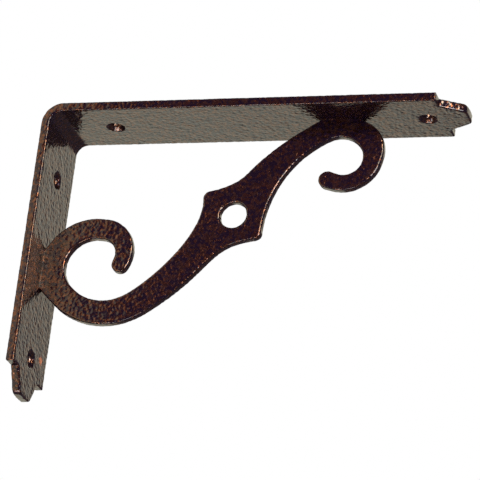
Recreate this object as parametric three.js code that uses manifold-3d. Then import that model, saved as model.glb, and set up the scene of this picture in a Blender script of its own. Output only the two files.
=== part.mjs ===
import * as THREE from 'three';
import { mergeVertices } from 'three/addons/utils/BufferGeometryUtils.js';
import Module from 'manifold-3d';

const wasm = await Module();
wasm.setup();

// Shelf bracket: a flat bar bent square, with a flat S-scroll brace welded into its corner.
// Millimetres. +X points out from the wall, +Z up, Y runs across the bar.
// The origin is on the wall face, half way between the two wall screw holes.

// Bent bar
const SHELF_LEG_LENGTH = 177.8; // wall face to the tip of the tongue
const WALL_LEG_LENGTH = 124.5; // shelf face to the tip of the tongue
const BAR_WIDTH = 34;
const BAR_THICKNESS = 3.3;
const BEND_INSIDE_RADIUS = 5.3;
const BEND_STEPS = 10;
const BAR_EDGE_ROUND = 0.4;

// Stepped, tapered tongue at each end of the bar
const TONGUE_LENGTH = 10.3;
const SHOULDER_STEP = 6; // how far each shoulder is cut in from the bar's edge
const TONGUE_TIP_WIDTH = 10.6;
const TONGUE_TIP_BULGE = 0.4;
const TONGUE_CORNER_ROUND = 1.2;

// Screw holes, countersunk from the faces inside the corner
const SCREW_BORE = 4.8;
const SINK_DIAMETER = 8;
const SINK_DEPTH = 1.6;
const SHELF_HOLE_FROM_WALL = 26.4;
const SHELF_HOLE_FROM_TIP = 17.1;
const WALL_HOLE_FROM_SHELF = 27.5;
const WALL_HOLE_FROM_TIP = 17.2;
const HOLE_SIDES = 32;

// Scroll brace: flat plate, its outline in hundredths of its reach along the shelf leg
const SCROLL_REACH = 140.2;
const SCROLL_THICKNESS = 3.3;
const SCROLL_EDGE_ROUND = 0.45;
const HUB_HOLE_DIAMETER = 11.6;
const LAND_GAP = 0.3; // the weld line between each flat land and the bar
const ARC_SAG = 0.03; // how far a facet may stray from its arc
const ARM_EDGE_STEPS = 18;
const ROUND_STEPS = 2;

const FULL_TURN = 2 * Math.PI;
const hundredth = SCROLL_REACH / 100;

// Middles of the two curls and of the hub, out from the wall leg and down from the shelf leg
const LOWER_CURL = { out: 17.05, down: 42.58 };
const UPPER_CURL = { out: 88.66, down: 11.55 };
const HUB = { out: 56.85, down: 29.81 };

// A full arc has the metal inside it, a hollow arc has the metal outside it.
// Each is placed from a middle: how far out, how far up, and its radius.
const full = (middle, out, up, radius) => placeArc(middle, out, up, radius, 1);
const hollow = (middle, out, up, radius) => placeArc(middle, out, up, radius, -1);

function placeArc(middle, out, up, radius, turn) {
  return {
    x: (middle.out + out) * hundredth,
    y: (up - middle.down) * hundredth,
    radius: radius * hundredth,
    turn,
  };
}

// An arm edge sweeps from a curl to a corner of the hub, or back. It leaves and arrives on the
// given headings, in degrees, and each pull is a share of the distance that it spans.
const armEdge = (leave, arrive, leavePull, arrivePull) => ({
  leave: THREE.MathUtils.degToRad(leave),
  arrive: THREE.MathUtils.degToRad(arrive),
  leavePull,
  arrivePull,
});

// The outline, anticlockwise from where the lower curl lands on the wall leg
const SCROLL_OUTLINE = [
  full(LOWER_CURL, -13, -3.9, 7.15), // lower land, later cut flat
  full(LOWER_CURL, 3.65, 1.4, 22.45), // belly of the lower curl
  armEdge(33.8, 7.9, 0.631, 0.409), // back of the lower arm, underside of the hub
  full(HUB, 6.95, -5.55, 1.95), // lower corner of the hub
  armEdge(88.8, 25.6, 0.37, 0.356), // outer side of the hub, inside of the upper arm
  hollow(UPPER_CURL, -2.05, -1.55, 7.65), // crown of the upper eye
  hollow(UPPER_CURL, 0.05, -0.75, 5.5), // round the upper eye
  full(UPPER_CURL, -4.7, -7.45, 2.45), // tip of the upper curl
  full(UPPER_CURL, -0.05, 0.3, 11.2), // belly of the upper curl
  full(UPPER_CURL, 1.6, 1.4, 9.8), // outer shoulder of the upper curl
  full(UPPER_CURL, -2.2, 7.75, 6.4), // upper land, later cut flat
  armEdge(210.3, 193.1, 0.793, 0.391), // back of the upper arm, upper side of the hub
  full(HUB, -7.75, 5.65, 1.95), // upper corner of the hub
  armEdge(278, 205.7, 0.326, 0.197), // inner side of the hub, inside of the lower arm
  hollow(LOWER_CURL, 2.9, 0.05, 13.85), // foot of the lower eye
  hollow(LOWER_CURL, -1.55, -2.7, 8.8), // round the lower eye
  hollow(LOWER_CURL, 0, 0.85, 5.05), // inside the lower tip
  full(LOWER_CURL, 6.8, -2.3, 2.35), // tip of the lower curl
  full(LOWER_CURL, 0, 1.8, 10.2), // outer side of the lower curl
  full(LOWER_CURL, -2.2, -3.55, 15.75), // crown of the lower curl
];

// Places worked out from the sizes
const bendOutsideRadius = BEND_INSIDE_RADIUS + BAR_THICKNESS;
const lowWallHole = WALL_LEG_LENGTH - WALL_HOLE_FROM_TIP;
const shelfLevel = (WALL_HOLE_FROM_SHELF + lowWallHole) / 2;
const outerShelfHole = SHELF_LEG_LENGTH - SHELF_HOLE_FROM_TIP;
const reachAll = 2 * (SHELF_LEG_LENGTH + WALL_LEG_LENGTH); // longer than the whole bracket

// Closed mesh to solid: shared corners merged, flat slivers dropped
function toSolid(geometry) {
  const bare = geometry.clone();
  bare.deleteAttribute('normal');
  bare.deleteAttribute('uv');
  const merged = mergeVertices(bare);
  const index = merged.index.array;
  const kept = [];
  for (let i = 0; i < index.length; i += 3) {
    const [a, b, c] = [index[i], index[i + 1], index[i + 2]];
    if (a !== b && b !== c && c !== a) kept.push(a, b, c);
  }
  return new wasm.Manifold(new wasm.Mesh({
    numProp: 3,
    vertProperties: new Float32Array(merged.attributes.position.array),
    triVerts: new Uint32Array(kept),
  }));
}

function toGeometry(solid) {
  const mesh = solid.getMesh();
  const geometry = new THREE.BufferGeometry();
  geometry.setAttribute('position', new THREE.BufferAttribute(mesh.vertProperties, 3));
  geometry.setIndex(new THREE.BufferAttribute(mesh.triVerts, 1));
  geometry.computeVertexNormals();
  return geometry;
}

// Shape drawn in X and Z, given its thickness along Y with softened edges, centred on Y = 0
function plate(shape, thickness, round) {
  const geometry = new THREE.ExtrudeGeometry(shape, {
    depth: thickness - 2 * round,
    bevelThickness: round,
    bevelSize: round,
    bevelOffset: -round,
    bevelSegments: ROUND_STEPS,
    curveSegments: HOLE_SIDES,
  });
  geometry.translate(0, 0, round - thickness / 2);
  geometry.rotateX(Math.PI / 2);
  return geometry;
}

// Side view of the bent bar, with the outer corner at the shape's origin
function barProfile() {
  const inner = BAR_THICKNESS;
  const bend = bendOutsideRadius;
  const quarter = Math.PI / 2;
  const points = [
    new THREE.Vector2(0, -WALL_LEG_LENGTH),
    new THREE.Vector2(inner, -WALL_LEG_LENGTH),
  ];
  for (let i = 0; i <= BEND_STEPS; i += 1) {
    const angle = Math.PI - (quarter * i) / BEND_STEPS;
    const x = bend + BEND_INSIDE_RADIUS * Math.cos(angle);
    const y = -bend + BEND_INSIDE_RADIUS * Math.sin(angle);
    points.push(new THREE.Vector2(x, y));
  }
  points.push(new THREE.Vector2(SHELF_LEG_LENGTH, -inner));
  points.push(new THREE.Vector2(SHELF_LEG_LENGTH, 0));
  for (let i = 0; i <= BEND_STEPS; i += 1) {
    const angle = quarter + (quarter * i) / BEND_STEPS;
    points.push(new THREE.Vector2(bend + bend * Math.cos(angle), -bend + bend * Math.sin(angle)));
  }
  return new THREE.Shape(points);
}

// Face view of one leg: full width to the shoulders, then the tapered tongue
function legFace(length) {
  const halfBar = BAR_WIDTH / 2;
  const halfRoot = halfBar - SHOULDER_STEP;
  const halfTip = TONGUE_TIP_WIDTH / 2;
  const shoulder = length - TONGUE_LENGTH;
  const tip = length - TONGUE_TIP_BULGE;
  const side = new THREE.Vector2(shoulder - tip, halfRoot - halfTip).setLength(TONGUE_CORNER_ROUND);
  const flat = halfTip - TONGUE_CORNER_ROUND;
  const shape = new THREE.Shape();
  shape.moveTo(-BAR_WIDTH, -BAR_WIDTH);
  shape.lineTo(shoulder, -BAR_WIDTH);
  shape.lineTo(shoulder, -halfRoot);
  shape.lineTo(tip + side.x, -halfTip - side.y);
  shape.quadraticCurveTo(tip, -halfTip, tip, -flat);
  shape.quadraticCurveTo(length + TONGUE_TIP_BULGE, 0, tip, flat);
  shape.quadraticCurveTo(tip, halfTip, tip + side.x, halfTip + side.y);
  shape.lineTo(shoulder, halfRoot);
  shape.lineTo(shoulder, BAR_WIDTH);
  shape.lineTo(-BAR_WIDTH, BAR_WIDTH);
  return new THREE.ExtrudeGeometry(shape, {
    depth: reachAll,
    bevelEnabled: false,
    curveSegments: BEND_STEPS,
  }).translate(0, 0, -reachAll / 2);
}

// Screw and countersink as one turned cutter, from the bar's back (0) along +Y
function screwCutter() {
  const profile = [
    [0, -BAR_THICKNESS],
    [SCREW_BORE / 2, -BAR_THICKNESS],
    [SCREW_BORE / 2, BAR_THICKNESS - SINK_DEPTH],
    [SINK_DIAMETER / 2, BAR_THICKNESS],
    [SINK_DIAMETER / 2, 2 * BAR_THICKNESS],
    [0, 2 * BAR_THICKNESS],
  ];
  return new THREE.LatheGeometry(profile.map(([r, y]) => new THREE.Vector2(r, y)), HOLE_SIDES);
}

function makeBar() {
  const faceDown = -Math.PI / 2;
  let bar = toSolid(plate(barProfile(), BAR_WIDTH, BAR_EDGE_ROUND));
  bar = bar.intersect(toSolid(legFace(SHELF_LEG_LENGTH)));
  bar = bar.intersect(toSolid(legFace(WALL_LEG_LENGTH).rotateY(Math.PI / 2)));
  for (const out of [SHELF_HOLE_FROM_WALL, outerShelfHole]) {
    bar = bar.subtract(toSolid(screwCutter().rotateX(faceDown).translate(out, 0, 0)));
  }
  for (const down of [WALL_HOLE_FROM_SHELF, lowWallHole]) {
    bar = bar.subtract(toSolid(screwCutter().rotateZ(faceDown).translate(0, 0, -down)));
  }
  return toGeometry(bar).translate(0, 0, shelfLevel);
}

// Heading at which the outline passes from a to b: that of the arm edge, if one of them is, or else
// of the straight run that touches both arcs, as a belt does on two pulleys
function headingBetween(a, b) {
  if ('leave' in b) return b.leave;
  if ('arrive' in a) return a.arrive;
  const dx = b.x - a.x;
  const dy = b.y - a.y;
  const lean = (b.turn * b.radius - a.turn * a.radius) / Math.hypot(dx, dy);
  return Math.atan2(dy, dx) - Math.asin(THREE.MathUtils.clamp(lean, -1, 1));
}

function pointOnArc(arc, heading) {
  const x = arc.x + arc.turn * arc.radius * Math.sin(heading);
  const y = arc.y - arc.turn * arc.radius * Math.cos(heading);
  return new THREE.Vector2(x, y);
}

function arcPoints(before, arc, after) {
  const start = headingBetween(before, arc);
  const turned = arc.turn * (headingBetween(arc, after) - start);
  const sweep = ((turned % FULL_TURN) + FULL_TURN) % FULL_TURN;
  const step = 2 * Math.acos(1 - ARC_SAG / arc.radius);
  const count = Math.max(1, Math.ceil(sweep / step));
  const points = [];
  for (let k = 0; k <= count; k += 1) {
    points.push(pointOnArc(arc, start + (arc.turn * sweep * k) / count));
  }
  return points;
}

// The two ends of an arm edge are points of its neighbours, which they place themselves
function armEdgePoints(before, edge, after) {
  const from = pointOnArc(before, edge.leave);
  const to = pointOnArc(after, edge.arrive);
  const span = from.distanceTo(to);
  const leavePull = new THREE.Vector2(Math.cos(edge.leave), Math.sin(edge.leave));
  const arrivePull = new THREE.Vector2(Math.cos(edge.arrive), Math.sin(edge.arrive));
  const curve = new THREE.CubicBezierCurve(
    from,
    from.clone().addScaledVector(leavePull, span * edge.leavePull),
    to.clone().addScaledVector(arrivePull, -span * edge.arrivePull),
    to,
  );
  return curve.getPoints(ARM_EDGE_STEPS).slice(1, -1);
}

function scrollShape() {
  const points = [];
  SCROLL_OUTLINE.forEach((run, i) => {
    const before = SCROLL_OUTLINE.at(i - 1);
    const after = SCROLL_OUTLINE[(i + 1) % SCROLL_OUTLINE.length];
    const pointsOf = 'leave' in run ? armEdgePoints : arcPoints;
    points.push(...pointsOf(before, run, after));
  });
  const shape = new THREE.Shape(points);
  const hole = new THREE.Path();
  const holeRadius = HUB_HOLE_DIAMETER / 2;
  hole.absarc(HUB.out * hundredth, -HUB.down * hundredth, holeRadius, 0, FULL_TURN);
  shape.holes.push(hole);
  return shape;
}

// Everything up to the land gap of the bar's inner faces is cut away, which leaves the two lands
function makeScroll() {
  const inner = BAR_THICKNESS + LAND_GAP;
  const plateGeometry = plate(scrollShape(), SCROLL_THICKNESS, SCROLL_EDGE_ROUND);
  plateGeometry.translate(BAR_THICKNESS, 0, -BAR_THICKNESS);
  const half = reachAll / 2;
  const block = () => new THREE.BoxGeometry(reachAll, reachAll, reachAll);
  let scroll = toSolid(plateGeometry);
  scroll = scroll.subtract(toSolid(block().translate(inner - half, 0, 0)));
  scroll = scroll.subtract(toSolid(block().translate(0, 0, half - inner)));
  return toGeometry(scroll).translate(0, 0, shelfLevel);
}

function part(name, geometry, color) {
  const material = new THREE.MeshStandardMaterial({ color, roughness: 0.3, metalness: 0.55 });
  const mesh = new THREE.Mesh(geometry, material);
  mesh.name = name;
  return mesh;
}

const bracket = new THREE.Group();
bracket.add(part('strap', makeBar(), 0x4b3a2e));
bracket.add(part('scroll_brace', makeScroll(), 0x45342a));

export default bracket;
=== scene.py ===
"""Shelf bracket: a flat steel bar bent square, with an S-scroll brace welded into its corner.

Both pieces are made in millimetres, as the real ones are: the bar is punched flat and then bent,
the scroll is cut from plate and trimmed to its two lands. Each is scaled to metres at the end.
"""

import math

import bmesh
import bpy
from mathutils import Matrix, Vector, geometry, noise


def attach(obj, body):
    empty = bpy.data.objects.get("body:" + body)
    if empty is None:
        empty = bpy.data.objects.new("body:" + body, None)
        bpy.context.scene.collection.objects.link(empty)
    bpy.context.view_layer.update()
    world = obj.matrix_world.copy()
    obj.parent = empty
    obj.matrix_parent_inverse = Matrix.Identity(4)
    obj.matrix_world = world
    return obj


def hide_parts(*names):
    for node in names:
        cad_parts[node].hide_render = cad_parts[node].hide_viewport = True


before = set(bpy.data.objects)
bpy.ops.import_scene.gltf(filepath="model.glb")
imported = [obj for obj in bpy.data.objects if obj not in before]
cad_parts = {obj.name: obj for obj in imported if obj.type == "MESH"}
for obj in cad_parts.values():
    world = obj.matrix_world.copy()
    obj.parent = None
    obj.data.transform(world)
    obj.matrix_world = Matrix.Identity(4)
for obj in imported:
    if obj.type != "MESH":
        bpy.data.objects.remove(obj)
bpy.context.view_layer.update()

MM = 0.001
AXIS = {"X": Vector((1, 0, 0)), "Y": Vector((0, 1, 0)), "Z": Vector((0, 0, 1))}

# Bent bar
SHELF_LEG = 177.8
WALL_LEG = 124.5
BAR_WIDTH = 34.0
BAR_THICKNESS = 3.3
BEND_RADIUS = 8.6  # outside of the bend
BAR_EDGE_ROUND = 0.45
SHELF_LEVEL = 67.4  # the shelf face, above the middle of the wall leg's holes
TONGUE_LENGTH = 10.3
TONGUE_ROOT_HALF = 11.0
TONGUE_TIP_HALF = 5.3
TONGUE_BULGE = 0.4
TONGUE_CORNER_ROUND = 1.2
TONGUE_NOSE_ROUND = 2.5
SCREW_BORE_RADIUS = 2.4
SINK_RADIUS = 4.0
SINK_DEPTH = 1.6
HOLE_RIM_ROUND = 0.2
SHELF_HOLES = (26.4, 160.7)  # out from the wall
WALL_HOLES = (27.5, 107.3)  # down from the shelf

# Scroll brace, its outline in hundredths of its reach, from the inner corner of the bar
HUNDREDTH = 1.402
SCROLL_THICKNESS = 3.3
SCROLL_EDGE_ROUND = 0.62
HUB_HOLE_RADIUS = 5.8
LOWER_CURL = (17.05, -42.58)
UPPER_CURL = (88.66, -11.55)
HUB = (56.85, -29.81)
ARC_STEP = 0.55  # length of one step along an arc
LAND_SINK = 0.05  # how far the lands are pressed into the bar
FILLET_HEIGHT = 0.6
FILLET_SPREAD = 0.15
LAND_FADE = 2.0  # the paint's relief fades out over this distance from a land

# Hammered relief of the paint: its patterns, in turns to a millimetre, and their heights
PAINT_SKIN = 0.19  # thickness of the paint where it has no dimple
DIMPLE_PITCH = 0.50
DIMPLE_STEEPNESS = 1.6
DIMPLE_DEPTH = 0.120
WANDER_PITCH = 0.35
WANDER_REACH = 0.6
SWELL_PITCH = 0.22
SWELL_HEIGHT = 0.035
PEEL_PITCH = 1.0
PEEL_HEIGHT = 0.050

# How finely the relief is modelled, and how near two points are to be one
BAR_GRID = 4.3
SCROLL_GRID = 3.4
FINEST_EDGE = 0.62
SAME_PLACE = 1e-4
SAME_CORNER = 0.01
SAME_STEP = 0.02


# Shaping


def extrude_up(bm, faces, move):
    """Extrudes faces by a move and returns the new faces."""
    out = bmesh.ops.extrude_face_region(bm, geom=faces)["geom"]
    moved = [v for v in out if isinstance(v, bmesh.types.BMVert)]
    bmesh.ops.translate(bm, verts=moved, vec=move)
    return [f for f in out if isinstance(f, bmesh.types.BMFace)]


def plate_from_loop(bm, face, move, edge_round):
    """Makes a face a plate of even thickness, with both of its rims rounded."""
    top = extrude_up(bm, [face], move)[0]
    rims = list(top.edges) + list(face.edges)
    bmesh.ops.bevel(
        bm, geom=rims, offset=edge_round, offset_type="OFFSET", segments=4,
        profile=0.5, affect="EDGES", clamp_overlap=False, material=-1,
    )
    bmesh.ops.recalc_face_normals(bm, faces=bm.faces)


def turned_cutter(profile, place, along):
    """A turned solid that cuts a hole: profile is (radius, height) pairs from its foot up."""
    bm = bmesh.new()
    verts = [bm.verts.new((r, 0, h)) for r, h in profile]
    edges = [bm.edges.new(pair) for pair in zip(verts, verts[1:])]
    bmesh.ops.spin(
        bm, geom=verts + edges, cent=(0, 0, 0), axis=(0, 0, 1), angle=2 * math.pi,
        steps=64, use_merge=True, use_duplicate=False,
    )
    bmesh.ops.remove_doubles(bm, verts=bm.verts, dist=SAME_PLACE)
    turn = AXIS["Z"].rotation_difference(along).to_matrix().to_4x4()
    bmesh.ops.transform(bm, matrix=Matrix.Translation(place) @ turn, verts=bm.verts)
    bmesh.ops.recalc_face_normals(bm, faces=bm.faces)
    return bm


def cut_holes(bm, cutters):
    """Cuts the turned holes out of a plate."""
    body = bpy.data.objects.new("work", bpy.data.meshes.new("work"))
    bm.to_mesh(body.data)
    bpy.context.scene.collection.objects.link(body)
    tools = []
    for i, cutter in enumerate(cutters):
        tool = bpy.data.objects.new(f"tool_{i}", bpy.data.meshes.new(f"tool_{i}"))
        cutter.to_mesh(tool.data)
        cutter.free()
        bpy.context.scene.collection.objects.link(tool)
        modifier = body.modifiers.new(f"hole_{i}", "BOOLEAN")
        modifier.operation = "DIFFERENCE"
        modifier.solver = "EXACT"
        modifier.object = tool
        tools.append(tool)
    depsgraph = bpy.context.evaluated_depsgraph_get()
    bm.clear()
    bm.from_mesh(body.evaluated_get(depsgraph).to_mesh())
    for thing in tools + [body]:
        mesh = thing.data
        bpy.data.objects.remove(thing)
        bpy.data.meshes.remove(mesh)


def slice_grid(bm, axis, low, high, pitch):
    """Cuts the faces along evenly spaced planes, so that they can carry fine relief."""
    count = int((high - low) / pitch)
    for i in range(1, count + 1):
        at = low + (high - low) * i / (count + 1)
        bmesh.ops.bisect_plane(
            bm, geom=bm.verts[:] + bm.edges[:] + bm.faces[:], dist=SAME_PLACE,
            plane_co=AXIS[axis] * at, plane_no=AXIS[axis],
        )


def refine(bm):
    """Halves long edges, four times at most, to make the mesh fine enough for the relief."""
    for _ in range(4):
        split_large_faces(bm)
        long_edges = [e for e in bm.edges if e.calc_length() > FINEST_EDGE]
        if not long_edges:
            break
        bmesh.ops.subdivide_edges(bm, edges=long_edges, cuts=1, use_grid_fill=True)
    split_large_faces(bm)


def split_large_faces(bm):
    """Parts every face of more than four corners into triangles."""
    many = [f for f in bm.faces if len(f.verts) > 4]
    bmesh.ops.triangulate(bm, faces=many, quad_method="BEAUTY", ngon_method="BEAUTY")


def hammer_height(point):
    """Height of the hammered paint at a point: shallow round dimples with soft ridges between."""
    bent = (point + noise.noise_vector(point * WANDER_PITCH) * WANDER_REACH) * DIMPLE_PITCH
    near, second = noise.voronoi(bent, distance_metric="DISTANCE")[0][:2]
    dimple = min(1.0, (second - near) * DIMPLE_STEEPNESS)
    swell = noise.noise(point * SWELL_PITCH)
    peel = noise.noise(point * PEEL_PITCH)
    return PAINT_SKIN - DIMPLE_DEPTH * dimple + SWELL_HEIGHT * swell + PEEL_HEIGHT * peel


def hammer(bm, fade=None):
    """Raises the skin by the hammered height, along its own normals. fade gives 0 to 1 at a point."""
    bm.normal_update()
    moves = []
    for v in bm.verts:
        keep = 1.0 if fade is None else fade(v.co)
        moves.append(v.normal * hammer_height(v.co) * keep)
    for v, move in zip(bm.verts, moves):
        v.co += move


def finish_piece(bm, name, material):
    """Scales the piece to metres and places it in the scene."""
    bmesh.ops.scale(bm, vec=(MM, MM, MM), verts=bm.verts)
    bmesh.ops.recalc_face_normals(bm, faces=bm.faces)
    mesh = bpy.data.meshes.new(name)
    for f in bm.faces:
        f.smooth = True
    bm.to_mesh(mesh)
    bm.free()
    piece = bpy.data.objects.new(name, mesh)
    bpy.context.scene.collection.objects.link(piece)
    mesh.materials.append(material)
    return piece


# Bar, flat: its run is 0 where the bend leaves the wall leg

BEND_RUN = (BEND_RADIUS - BAR_THICKNESS / 2) * math.pi / 2
SHELF_TIP = BEND_RUN + SHELF_LEG - BEND_RADIUS
WALL_TIP = -(WALL_LEG - BEND_RADIUS)


def tongue_outline(tip, way):
    """Corners of one end of the flat blank, from its -Y side to its +Y side."""
    shoulder = tip - way * TONGUE_LENGTH
    end = tip - way * TONGUE_BULGE
    half = BAR_WIDTH / 2
    return [
        (shoulder, -half), (shoulder, -TONGUE_ROOT_HALF), (end, -TONGUE_TIP_HALF),
        (tip, 0), (end, TONGUE_TIP_HALF), (shoulder, TONGUE_ROOT_HALF), (shoulder, half),
    ]


def flat_blank():
    """The bar before bending: X runs along it, Y across, and Z from its back to its inner face."""
    bm = bmesh.new()
    corners = tongue_outline(SHELF_TIP, 1) + tongue_outline(WALL_TIP, -1)[::-1]
    bm.faces.new([bm.verts.new((run, across, 0)) for run, across in corners])
    tips = [v for v in bm.verts if abs(abs(v.co.y) - TONGUE_TIP_HALF) < SAME_CORNER]
    bmesh.ops.bevel(
        bm, geom=tips, offset=TONGUE_CORNER_ROUND, segments=5, profile=0.5,
        affect="VERTICES", clamp_overlap=False, material=-1,
    )
    noses = [v for v in bm.verts if abs(v.co.y) < SAME_CORNER]
    bmesh.ops.bevel(
        bm, geom=noses, offset=TONGUE_NOSE_ROUND, segments=4, profile=0.5,
        affect="VERTICES", clamp_overlap=False, material=-1,
    )
    plate_from_loop(bm, list(bm.faces)[0], (0, 0, BAR_THICKNESS), BAR_EDGE_ROUND)
    return bm


def screw_profile():
    """Bore with its countersink, a little rounded at both rims, from behind the bar up."""
    rim = HOLE_RIM_ROUND
    sink_foot = BAR_THICKNESS - SINK_DEPTH
    return [
        (0, -1), (SCREW_BORE_RADIUS + rim, -1), (SCREW_BORE_RADIUS + rim, 0),
        (SCREW_BORE_RADIUS + rim * 0.3, rim * 0.3), (SCREW_BORE_RADIUS, rim),
        (SCREW_BORE_RADIUS, sink_foot), (SINK_RADIUS - rim, BAR_THICKNESS - rim),
        (SINK_RADIUS - rim * 0.35, BAR_THICKNESS - rim * 0.5),
        (SINK_RADIUS + rim * 0.5, BAR_THICKNESS), (SINK_RADIUS + rim * 0.5, BAR_THICKNESS + 1),
        (0, BAR_THICKNESS + 1),
    ]


def bend_bar(bm):
    """Bends the flat blank square: the wall leg hangs down, the shelf leg points out along +X."""
    for v in bm.verts:
        run, across, depth = v.co
        if run < 0:
            x, z = depth, run - BEND_RADIUS
        elif run < BEND_RUN:
            angle = run / BEND_RUN * math.pi / 2
            arm = BEND_RADIUS - depth
            x, z = BEND_RADIUS - arm * math.cos(angle), arm * math.sin(angle) - BEND_RADIUS
        else:
            x, z = BEND_RADIUS + run - BEND_RUN, -depth
        v.co = (x, across, z + SHELF_LEVEL)


def make_bar(material):
    """The whole bar: punched flat, painted, then bent."""
    bm = flat_blank()
    runs = [BEND_RUN + out - BEND_RADIUS for out in SHELF_HOLES]
    runs += [BEND_RADIUS - down for down in WALL_HOLES]
    cut_holes(bm, [turned_cutter(screw_profile(), (run, 0, 0), AXIS["Z"]) for run in runs])
    slice_grid(bm, "X", WALL_TIP, SHELF_TIP, BAR_GRID)
    slice_grid(bm, "Y", -BAR_WIDTH / 2, BAR_WIDTH / 2, BAR_GRID)
    refine(bm)
    hammer(bm)
    bend_bar(bm)
    return finish_piece(bm, "bar", material)


# Scroll


def arc(middle, out, up, radius, turn):
    """An arc of the outline, its centre measured from a middle in hundredths of the reach."""
    centre = Vector(((middle[0] + out) * HUNDREDTH, (middle[1] + up) * HUNDREDTH))
    return {"centre": centre, "radius": radius * HUNDREDTH, "turn": turn}


def full(middle, out, up, radius):
    """An arc that swells outwards."""
    return arc(middle, out, up, radius, 1)


def hollow(middle, out, up, radius):
    """An arc that cuts inwards."""
    return arc(middle, out, up, radius, -1)


def arm_edge(leave, arrive, leave_pull, arrive_pull):
    """A long curve between two arcs: its headings in degrees and how far each end pulls it."""
    return {
        "leave": math.radians(leave), "arrive": math.radians(arrive),
        "pulls": (leave_pull, arrive_pull),
    }


SCROLL_OUTLINE = [
    full(LOWER_CURL, -13, -3.9, 7.15),  # lower land
    full(LOWER_CURL, 3.65, 1.4, 22.45),  # belly of the lower curl
    arm_edge(33.8, 7.9, 0.631, 0.409),  # back of the lower arm, underside of the hub
    full(HUB, 6.95, -5.55, 1.95),  # lower corner of the hub
    arm_edge(88.8, 25.6, 0.37, 0.356),  # outer side of the hub, inside of the upper arm
    hollow(UPPER_CURL, -2.05, -1.55, 7.65),  # crown of the upper eye
    hollow(UPPER_CURL, 0.05, -0.75, 5.5),  # round the upper eye
    full(UPPER_CURL, -4.7, -7.45, 2.45),  # tip of the upper curl
    full(UPPER_CURL, -0.05, 0.3, 11.2),  # belly of the upper curl
    full(UPPER_CURL, 1.6, 1.4, 9.8),  # outer shoulder of the upper curl
    full(UPPER_CURL, -2.2, 7.75, 6.4),  # upper land
    arm_edge(210.3, 193.1, 0.793, 0.391),  # back of the upper arm, upper side of the hub
    full(HUB, -7.75, 5.65, 1.95),  # upper corner of the hub
    arm_edge(278, 205.7, 0.326, 0.197),  # inner side of the hub, inside of the lower arm
    hollow(LOWER_CURL, 2.9, 0.05, 13.85),  # foot of the lower eye
    hollow(LOWER_CURL, -1.55, -2.7, 8.8),  # round the lower eye
    hollow(LOWER_CURL, 0, 0.85, 5.05),  # inside the lower tip
    full(LOWER_CURL, 6.8, -2.3, 2.35),  # tip of the lower curl
    full(LOWER_CURL, 0, 1.8, 10.2),  # outer side of the lower curl
    full(LOWER_CURL, -2.2, -3.55, 15.75),  # crown of the lower curl
]


def heading_between(a, b):
    """Heading of the outline from a to b: the arm edge's own, or that of a belt round both arcs."""
    if "leave" in b:
        return b["leave"]
    if "arrive" in a:
        return a["arrive"]
    gap = b["centre"] - a["centre"]
    lean = (b["turn"] * b["radius"] - a["turn"] * a["radius"]) / gap.length
    return math.atan2(gap.y, gap.x) - math.asin(max(-1, min(1, lean)))


def point_on(run, heading):
    """The point of an arc where the outline has this heading."""
    reach = run["turn"] * run["radius"]
    return run["centre"] + Vector((math.sin(heading), -math.cos(heading))) * reach


def step_to(bm, last, place):
    """Draws the outline on to a place in the X Z plane and returns its new end."""
    new = bmesh.ops.extrude_vert_indiv(bm, verts=[last])["verts"][0]
    new.co = (place.x, 0, place.y)
    return new


def draw_arc(bm, last, before, run, after):
    """Draws one arc between its neighbours and returns the outline's new end."""
    start = heading_between(before, run)
    turned = run["turn"] * (heading_between(run, after) - start)
    sweep = turned % (2 * math.pi)
    last = step_to(bm, last, point_on(run, start))
    centre = (run["centre"].x, 0, run["centre"].y)
    swept = bmesh.ops.spin(
        bm, geom=[last], cent=centre, axis=(0, -1, 0), angle=run["turn"] * sweep,
        steps=max(1, round(sweep * run["radius"] / ARC_STEP)), use_duplicate=False,
    )
    return swept["geom_last"][0]


def draw_arm_edge(bm, last, before, run, after):
    """Draws one arm edge between its neighbours and returns the outline's new end."""
    start = point_on(before, run["leave"])
    end = point_on(after, run["arrive"])
    span = (end - start).length
    out, home = (Vector((math.cos(run[k]), math.sin(run[k]))) for k in ("leave", "arrive"))
    points = geometry.interpolate_bezier(
        start, start + out * span * run["pulls"][0], end - home * span * run["pulls"][1], end,
        round(span / ARC_STEP),
    )
    for place in points[1:-1]:
        last = step_to(bm, last, place)
    return last


def flat_scroll():
    """The scroll as cut from plate, drawn run by run round its outline."""
    bm = bmesh.new()
    first = bm.verts.new((0, 0, 0))
    last = first
    for i, run in enumerate(SCROLL_OUTLINE):
        before = SCROLL_OUTLINE[i - 1]
        after = SCROLL_OUTLINE[(i + 1) % len(SCROLL_OUTLINE)]
        draw = draw_arm_edge if "leave" in run else draw_arc
        last = draw(bm, last, before, run, after)
    bmesh.ops.delete(bm, geom=[first], context="VERTS")
    bmesh.ops.remove_doubles(bm, verts=bm.verts, dist=SAME_STEP)
    ends = [v for v in bm.verts if len(v.link_edges) == 1]
    bm.edges.new(ends)
    bmesh.ops.translate(bm, verts=bm.verts, vec=(0, -SCROLL_THICKNESS / 2, 0))
    face = bmesh.ops.contextual_create(bm, geom=bm.edges[:])["faces"][0]
    plate_from_loop(bm, face, (0, SCROLL_THICKNESS, 0), SCROLL_EDGE_ROUND)
    return bm


def hub_profile():
    """The hub's hole, rounded at both rims."""
    half = SCROLL_THICKNESS / 2
    rim = SCROLL_EDGE_ROUND
    near = [(HUB_HOLE_RADIUS + rim, half), (HUB_HOLE_RADIUS + 0.3 * rim, half - 0.3 * rim),
            (HUB_HOLE_RADIUS, half - rim)]
    far = [(radius, -height) for radius, height in near]
    return ([(0, -half - 1), (HUB_HOLE_RADIUS + rim, -half - 1)] + far
            + near[::-1] + [(HUB_HOLE_RADIUS + rim, half + 1), (0, half + 1)])


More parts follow.
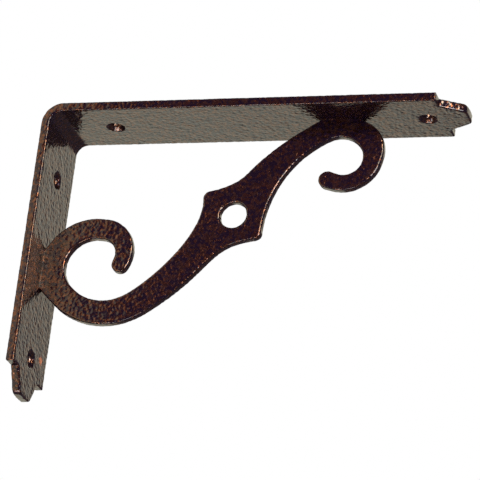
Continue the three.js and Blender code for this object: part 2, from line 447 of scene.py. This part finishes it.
def cut_land(bm, axis, at):
    """Trims the plate flat where it lands on the bar, and closes it there."""
    cut = bmesh.ops.bisect_plane(
        bm, geom=bm.verts[:] + bm.edges[:] + bm.faces[:], dist=SAME_PLACE,
        plane_co=axis * at, plane_no=axis, clear_outer=False, clear_inner=True,
    )["geom_cut"]
    edges = [e for e in cut if isinstance(e, bmesh.types.BMEdge)]
    bmesh.ops.contextual_create(bm, geom=edges)


def spread_fillets(bm):
    """Spreads the plate a little where it meets the bar, as the paint fills the weld line."""
    bm.normal_update()
    for v in bm.verts:
        height = min(v.co.x, -v.co.z) + LAND_SINK
        if height < FILLET_HEIGHT:
            share = (1 - max(0.0, height) / FILLET_HEIGHT) ** 2
            side = Vector(v.normal)
            if v.co.x < -v.co.z:
                side.x = 0
            else:
                side.z = 0
            if side.length > 0.2:
                v.co += side.normalized() * FILLET_SPREAD * share


def crease_lands(bm):
    """Marks the edges that lie in the two lands sharp, so that no shading runs round their rims."""
    for e in bm.edges:
        e.smooth = any(min(v.co.x, -v.co.z) > -LAND_SINK / 2 for v in e.verts)


def land_fade(place):
    """Share of the relief at a place: none on a land, all of it further away than LAND_FADE."""
    return min(1.0, max(0.0, min(place.x, -place.z)) / LAND_FADE)


def make_scroll(material):
    """The whole scroll: cut, trimmed to its lands, painted and set in the corner of the bar."""
    bm = flat_scroll()
    hub = (HUB[0] * HUNDREDTH, 0, HUB[1] * HUNDREDTH)
    cut_holes(bm, [turned_cutter(hub_profile(), hub, AXIS["Y"])])
    cut_land(bm, AXIS["X"], -LAND_SINK)
    cut_land(bm, -AXIS["Z"], -LAND_SINK)
    low, high = ([f(v.co[i] for v in bm.verts) for i in range(3)] for f in (min, max))
    slice_grid(bm, "X", low[0], high[0], SCROLL_GRID)
    slice_grid(bm, "Z", low[2], high[2], SCROLL_GRID)
    refine(bm)
    spread_fillets(bm)
    hammer(bm, fade=land_fade)
    crease_lands(bm)
    shift = (BAR_THICKNESS, 0, SHELF_LEVEL - BAR_THICKNESS)
    bmesh.ops.translate(bm, verts=bm.verts, vec=shift)
    return finish_piece(bm, "scroll", material)


# Finish: lengths in metres, pattern scales in turns to a metre

FLECK_SCALE = 950.0
SPREAD_SCALE = 1100.0
RELIEF_SCALE = 850.0
WARP_SCALE = 320.0
WARP_REACH = 0.0012
GRAIN_SCALE = 1500.0
GRAIN_SHARE = 0.25
BUMP_DEPTH = 0.00016
BASE_COLOUR = (0.012, 0.004, 0.015, 1)
FLECK_COLOUR = (0.142, 0.061, 0.035, 1)
FLECK_NONE, FLECK_FULL = 0.18, 0.38  # where the flecks begin and are full in their pattern
COOL_TINT = (0.75, 0.8, 0.9, 1)
WARM_TINT = (1.3, 1.1, 1.0, 1)
PAINT_METAL, FLECK_METAL = 0.7, 0.3  # that of the paint, and what a fleck adds to it
PAINT_ROUGH, FLECK_ROUGH = 0.20, 0.02
PAINT_IOR = 1.5
COAT_ROUGHNESS = 0.06
RUST_SPOT = (0.0033, 0.0105, -0.0365)  # beside the wall leg's lower hole, on its inner face
RUST_COLOUR = (0.34, 0.10, 0.035, 1)
RUST_REACH = 0.0030
RUST_SCALE = 900.0
RUST_STEEPNESS = 500.0
RUST_OFFSET = 0.3
RUST_NONE = 0.7
RUST_ROUGH = 0.4
RUST_COAT_LOSS = 0.7


def group(name, inputs, outputs):
    """A shader node group with named sockets. Returns the tree and its two end nodes."""
    tree = bpy.data.node_groups.new(name, "ShaderNodeTree")
    for label, kind, default in inputs:
        socket = tree.interface.new_socket(label, in_out="INPUT", socket_type=kind)
        if default is not None:
            socket.default_value = default
    for label, kind in outputs:
        tree.interface.new_socket(label, in_out="OUTPUT", socket_type=kind)
    return tree, tree.nodes.new("NodeGroupInput"), tree.nodes.new("NodeGroupOutput")


def node(tree, kind, links=(), **values):
    """A node with its settings, its socket values and the links into it."""
    made = tree.nodes.new(kind)
    for key, value in values.items():
        setattr(made, key, value)
    for socket, source in dict(links).items():
        if isinstance(source, bpy.types.NodeSocket):
            tree.links.new(source, made.inputs[socket])
        else:
            made.inputs[socket].default_value = source
    return made


def ramp(tree, value, stops):
    """A colour ramp over a value, from pairs of a position and a colour."""
    made = node(tree, "ShaderNodeValToRGB", {"Fac": value})
    elements = made.color_ramp.elements
    while len(elements) < len(stops):
        elements.new(0.5)
    for element, (at, colour) in zip(elements, stops):
        element.position = at
        element.color = colour
    return made.outputs["Color"]


def grey(value):
    """A colour of this brightness without a hue."""
    return (value, value, value, 1)


def maths(tree, operation, first, second, third=0.0):
    """One sum on values or sockets. Of those used here, only MULTIPLY_ADD reads the third."""
    made = node(tree, "ShaderNodeMath", {0: first, 1: second, 2: third}, operation=operation)
    return made.outputs["Value"]


def blend(tree, share, first, second, way="MIX"):
    """Blends two colours by a share. The numbers are the Mix node's sockets for colours."""
    made = tree.nodes.new("ShaderNodeMix")
    made.data_type = "RGBA"
    made.blend_type = way
    for index, source in ((0, share), (6, first), (7, second)):
        if isinstance(source, bpy.types.NodeSocket):
            tree.links.new(source, made.inputs[index])
        else:
            made.inputs[index].default_value = source
    return made.outputs[2]


def copper_flecks():
    """Flecks of copper flake in the paint: a colour, and a mask that is 1 on a fleck."""
    tree, start, end = group(
        "copper_flecks",
        [("Place", "NodeSocketVector", None), ("Fleck Scale", "NodeSocketFloat", FLECK_SCALE),
         ("Base", "NodeSocketColor", BASE_COLOUR), ("Fleck", "NodeSocketColor", FLECK_COLOUR)],
        [("Color", "NodeSocketColor"), ("Mask", "NodeSocketFloat")],
    )
    cells = node(tree, "ShaderNodeTexVoronoi",
                 {"Vector": start.outputs["Place"], "Scale": start.outputs["Fleck Scale"]},
                 feature="F1")
    spread = node(tree, "ShaderNodeTexNoise",
                  {"Vector": start.outputs["Place"], "Scale": SPREAD_SCALE, "Detail": 3.0,
                   "Roughness": 0.6})
    tone = node(tree, "ShaderNodeSeparateColor", {"Color": cells.outputs["Color"]})
    mixed = maths(tree, "MULTIPLY", tone.outputs[0], spread.outputs["Fac"])
    mask = ramp(tree, mixed, [(FLECK_NONE, grey(0)), (FLECK_FULL, grey(1))])
    tint = ramp(tree, tone.outputs[1], [(0.0, COOL_TINT), (1.0, WARM_TINT)])
    fleck = blend(tree, 1.0, start.outputs["Fleck"], tint, "MULTIPLY")
    colour = blend(tree, mask, start.outputs["Base"], fleck)
    tree.links.new(colour, end.inputs["Color"])
    tree.links.new(mask, end.inputs["Mask"])
    return tree


def paint_relief():
    """Fine relief of the paint between the modelled dimples: a height in shares of BUMP_DEPTH."""
    tree, start, end = group(
        "paint_relief",
        [("Place", "NodeSocketVector", None), ("Cell Scale", "NodeSocketFloat", RELIEF_SCALE)],
        [("Height", "NodeSocketFloat")],
    )
    warp = node(tree, "ShaderNodeTexNoise",
                {"Vector": start.outputs["Place"], "Scale": WARP_SCALE, "Detail": 2.0})
    bent = node(tree, "ShaderNodeVectorMath", {0: warp.outputs["Color"], "Scale": WARP_REACH},
                operation="SCALE")
    moved = node(tree, "ShaderNodeVectorMath",
                 {0: start.outputs["Place"], 1: bent.outputs[0]}, operation="ADD")
    cells = node(tree, "ShaderNodeTexVoronoi",
                 {"Vector": moved.outputs[0], "Scale": start.outputs["Cell Scale"],
                  "Smoothness": 0.6}, feature="SMOOTH_F1")
    grain = node(tree, "ShaderNodeTexNoise",
                 {"Vector": start.outputs["Place"], "Scale": GRAIN_SCALE, "Detail": 2.0})
    fine = maths(tree, "MULTIPLY", grain.outputs["Fac"], GRAIN_SHARE)
    tree.links.new(maths(tree, "ADD", cells.outputs["Distance"], fine), end.inputs["Height"])
    return tree


FLECKS = copper_flecks()
RELIEF = paint_relief()


def hammered_paint(name, rust_spot=None):
    """Glossy hammered paint: near black, with copper flecks under a clear coat."""
    material = bpy.data.materials.new(name)
    material.use_nodes = True
    tree = material.node_tree
    shader = tree.nodes["Principled BSDF"]
    place = tree.nodes.new("ShaderNodeTexCoord").outputs["Object"]
    flecks = node(tree, "ShaderNodeGroup", node_tree=FLECKS)
    tree.links.new(place, flecks.inputs["Place"])
    relief = node(tree, "ShaderNodeGroup", node_tree=RELIEF)
    tree.links.new(place, relief.inputs["Place"])
    colour = flecks.outputs["Color"]
    metal = maths(tree, "MULTIPLY_ADD", flecks.outputs["Mask"], FLECK_METAL, PAINT_METAL)
    rough = maths(tree, "MULTIPLY_ADD", flecks.outputs["Mask"], FLECK_ROUGH, PAINT_ROUGH)
    if rust_spot is not None:
        away = node(tree, "ShaderNodeVectorMath", {0: place, 1: rust_spot}, operation="DISTANCE")
        ragged = node(tree, "ShaderNodeTexNoise",
                      {"Vector": place, "Scale": RUST_SCALE, "Detail": 3.0})
        reach = maths(tree, "MULTIPLY", ragged.outputs["Fac"], RUST_REACH)
        edge = maths(tree, "SUBTRACT", away.outputs["Value"], reach)
        spot = ramp(tree, maths(tree, "MULTIPLY_ADD", edge, RUST_STEEPNESS, RUST_OFFSET),
                    [(0.0, grey(1)), (RUST_NONE, grey(0))])
        colour = blend(tree, spot, colour, RUST_COLOUR)
        metal = maths(tree, "SUBTRACT", metal, spot)
        rough = maths(tree, "MULTIPLY_ADD", spot, RUST_ROUGH, rough)
        coat = maths(tree, "MULTIPLY_ADD", spot, -RUST_COAT_LOSS, 1.0)
        tree.links.new(coat, shader.inputs["Coat Weight"])
    tree.links.new(colour, shader.inputs["Base Color"])
    tree.links.new(metal, shader.inputs["Metallic"])
    tree.links.new(rough, shader.inputs["Roughness"])
    bump = node(tree, "ShaderNodeBump",
                {"Height": relief.outputs["Height"], "Strength": 1.0, "Distance": BUMP_DEPTH})
    tree.links.new(bump.outputs["Normal"], shader.inputs["Normal"])
    shader.inputs["IOR"].default_value = PAINT_IOR
    shader.inputs["Coat Weight"].default_value = 1.0
    shader.inputs["Coat Roughness"].default_value = COAT_ROUGHNESS
    shader.inputs["Coat IOR"].default_value = PAINT_IOR
    return material


# Studio, in metres

# Each lamp: where it stands, where it points, its width and height, its watts and its colour
LAMPS = {
    "left_card": ((-0.113, -0.13, 0.02), (0.02, 0, 0.02), (0.16, 0.46), 0.21, (1, 0.86, 0.50)),
    "front_softbox": ((0.45, -1.04, 0.41), (0.01, 0, 0), (0.5, 0.5), 2.2, (1, 0.88, 0.56)),
    "tip_card": ((0.36, -0.37, 0.24), (0.17, 0, 0.067), (0.16, 0.16), 1.0, (1, 0.90, 0.66)),
    "right_softbox": ((0.80, -0.70, -0.12), (0.09, 0, 0), (0.36, 0.36), 6.5, (0.96, 0.96, 0.86)),
    "low_card": ((0.16, -0.16, -0.50), (0.12, 0, 0), (0.20, 0.14), 0.45, (1, 0.95, 0.87)),
    "low_left_card": ((-0.11, -0.25, -0.50), (0.08, 0, 0), (0.11, 0.14), 0.5, (1, 0.95, 0.87)),
}

# Each glow: the way to it, the angles in degrees from its middle where it is whole and gone, colour
GLOWS = (
    ((-0.20, -0.90, 0.38), 30, 55, (0.09, 0.045, 0.10, 1)),  # dim violet, in front and above
    ((-0.50, 0.80, -0.35), 12, 24, (0.66, 0.66, 0.53, 1)),  # pale, behind, low on the left
    ((0.13, 0.80, 0.55), 12, 26, (0.62, 0.59, 0.47, 1)),  # pale, behind and high
)
ROOM_TONES = [(0.3, (0.10, 0.08, 0.09, 1)), (0.8, (0.06, 0.045, 0.06, 1))]  # from low to high

FLOOR_LEVEL = -0.62
FLOOR_HALF = 4.0
FLOOR_TONE = 0.85

# The camera as fitted to the photograph. Its angles are in degrees: to the right of the front,
# upwards from level, and round its own line of sight
CAMERA_PLACE = (0.483897, -1.118598, -0.487105)
CAMERA_TURN = 19.544
CAMERA_LIFT = 22.7943
CAMERA_ROLL = 6.9955
LENS_LENGTH_MM = 238.6


def area_light(name, place, target, size, power, colour):
    """A soft rectangular lamp that the camera doesn't see."""
    light = bpy.data.lights.new(name, "AREA")
    light.shape = "RECTANGLE"
    light.size, light.size_y = size
    light.energy = power
    light.color = colour
    lamp = bpy.data.objects.new(name, light)
    bpy.context.scene.collection.objects.link(lamp)
    lamp.location = place
    lamp.rotation_mode = "QUATERNION"
    lamp.rotation_quaternion = (Vector(target) - Vector(place)).to_track_quat("-Z", "Y")
    lamp.visible_camera = False


def glow(tree, direction, light, toward, whole, gone, colour):
    """Adds a soft round patch of light: all of it to `whole` degrees from its middle, none at `gone`."""
    middle = Vector(toward).normalized()
    near = node(tree, "ShaderNodeVectorMath", {0: direction, 1: middle}, operation="DOT_PRODUCT")
    share = node(tree, "ShaderNodeMapRange",
                 {"Value": near.outputs["Value"], "From Min": math.cos(math.radians(gone)),
                  "From Max": math.cos(math.radians(whole))}, interpolation_type="SMOOTHSTEP")
    return blend(tree, share.outputs["Result"], light, colour)


def studio_world():
    """What the paint mirrors is a dim room with its glows; all else is lit by plain white."""
    world = bpy.data.worlds.new("studio")
    world.use_nodes = True
    bpy.context.scene.world = world
    tree = world.node_tree
    tree.nodes.clear()
    end = tree.nodes.new("ShaderNodeOutputWorld")
    direction = tree.nodes.new("ShaderNodeTexCoord").outputs["Generated"]
    height = node(tree, "ShaderNodeSeparateXYZ", {0: direction}).outputs["Z"]
    light = ramp(tree, maths(tree, "MULTIPLY_ADD", height, 0.5, 0.5), ROOM_TONES)
    for patch in GLOWS:
        light = glow(tree, direction, light, *patch)
    room = node(tree, "ShaderNodeBackground", {"Color": light, "Strength": 1.0})
    plain = node(tree, "ShaderNodeBackground", {"Color": grey(1.0), "Strength": 1.0})
    mirrored = tree.nodes.new("ShaderNodeLightPath").outputs["Is Glossy Ray"]
    both = node(tree, "ShaderNodeMixShader",
                {0: mirrored, 1: plain.outputs[0], 2: room.outputs[0]})
    tree.links.new(both.outputs[0], end.inputs["Surface"])


def floor():
    """A pale floor far below, which the paint doesn't mirror."""
    bm = bmesh.new()
    bmesh.ops.create_grid(bm, x_segments=1, y_segments=1, size=FLOOR_HALF)
    bmesh.ops.translate(bm, verts=bm.verts, vec=(0, 0, FLOOR_LEVEL))
    mesh = bpy.data.meshes.new("floor")
    bm.to_mesh(mesh)
    bm.free()
    ground = bpy.data.objects.new("floor", mesh)
    bpy.context.scene.collection.objects.link(ground)
    pale = bpy.data.materials.new("pale_floor")
    pale.use_nodes = True
    shader = pale.node_tree.nodes["Principled BSDF"]
    shader.inputs["Base Color"].default_value = grey(FLOOR_TONE)
    shader.inputs["Roughness"].default_value = 0.8
    mesh.materials.append(pale)
    ground.visible_glossy = False


def camera():
    """The photograph's view: a long lens from the right, in front and below."""
    lens = bpy.data.cameras.new("camera")
    lens.sensor_width = 36.0
    lens.lens = LENS_LENGTH_MM
    lens.clip_start, lens.clip_end = 0.05, 50.0
    body = bpy.data.objects.new("camera", lens)
    bpy.context.scene.collection.objects.link(body)
    turned = (
        Matrix.Rotation(math.radians(CAMERA_TURN), 4, "Z")
        @ Matrix.Rotation(math.radians(90 + CAMERA_LIFT), 4, "X")
        @ Matrix.Rotation(math.radians(CAMERA_ROLL), 4, "Z")
    )
    body.matrix_world = Matrix.Translation(CAMERA_PLACE) @ turned
    bpy.context.scene.camera = body


camera()
studio_world()
floor()
for lamp_name, settings in LAMPS.items():
    area_light(lamp_name, *settings)
bpy.context.scene.view_settings.view_transform = "Standard"

bar_paint = hammered_paint("bar_paint", rust_spot=RUST_SPOT)
scroll_paint = hammered_paint("scroll_paint")

bar = make_bar(bar_paint)
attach(bar, "root")
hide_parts("strap")

scroll = make_scroll(scroll_paint)
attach(scroll, "root")
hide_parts("scroll_brace")
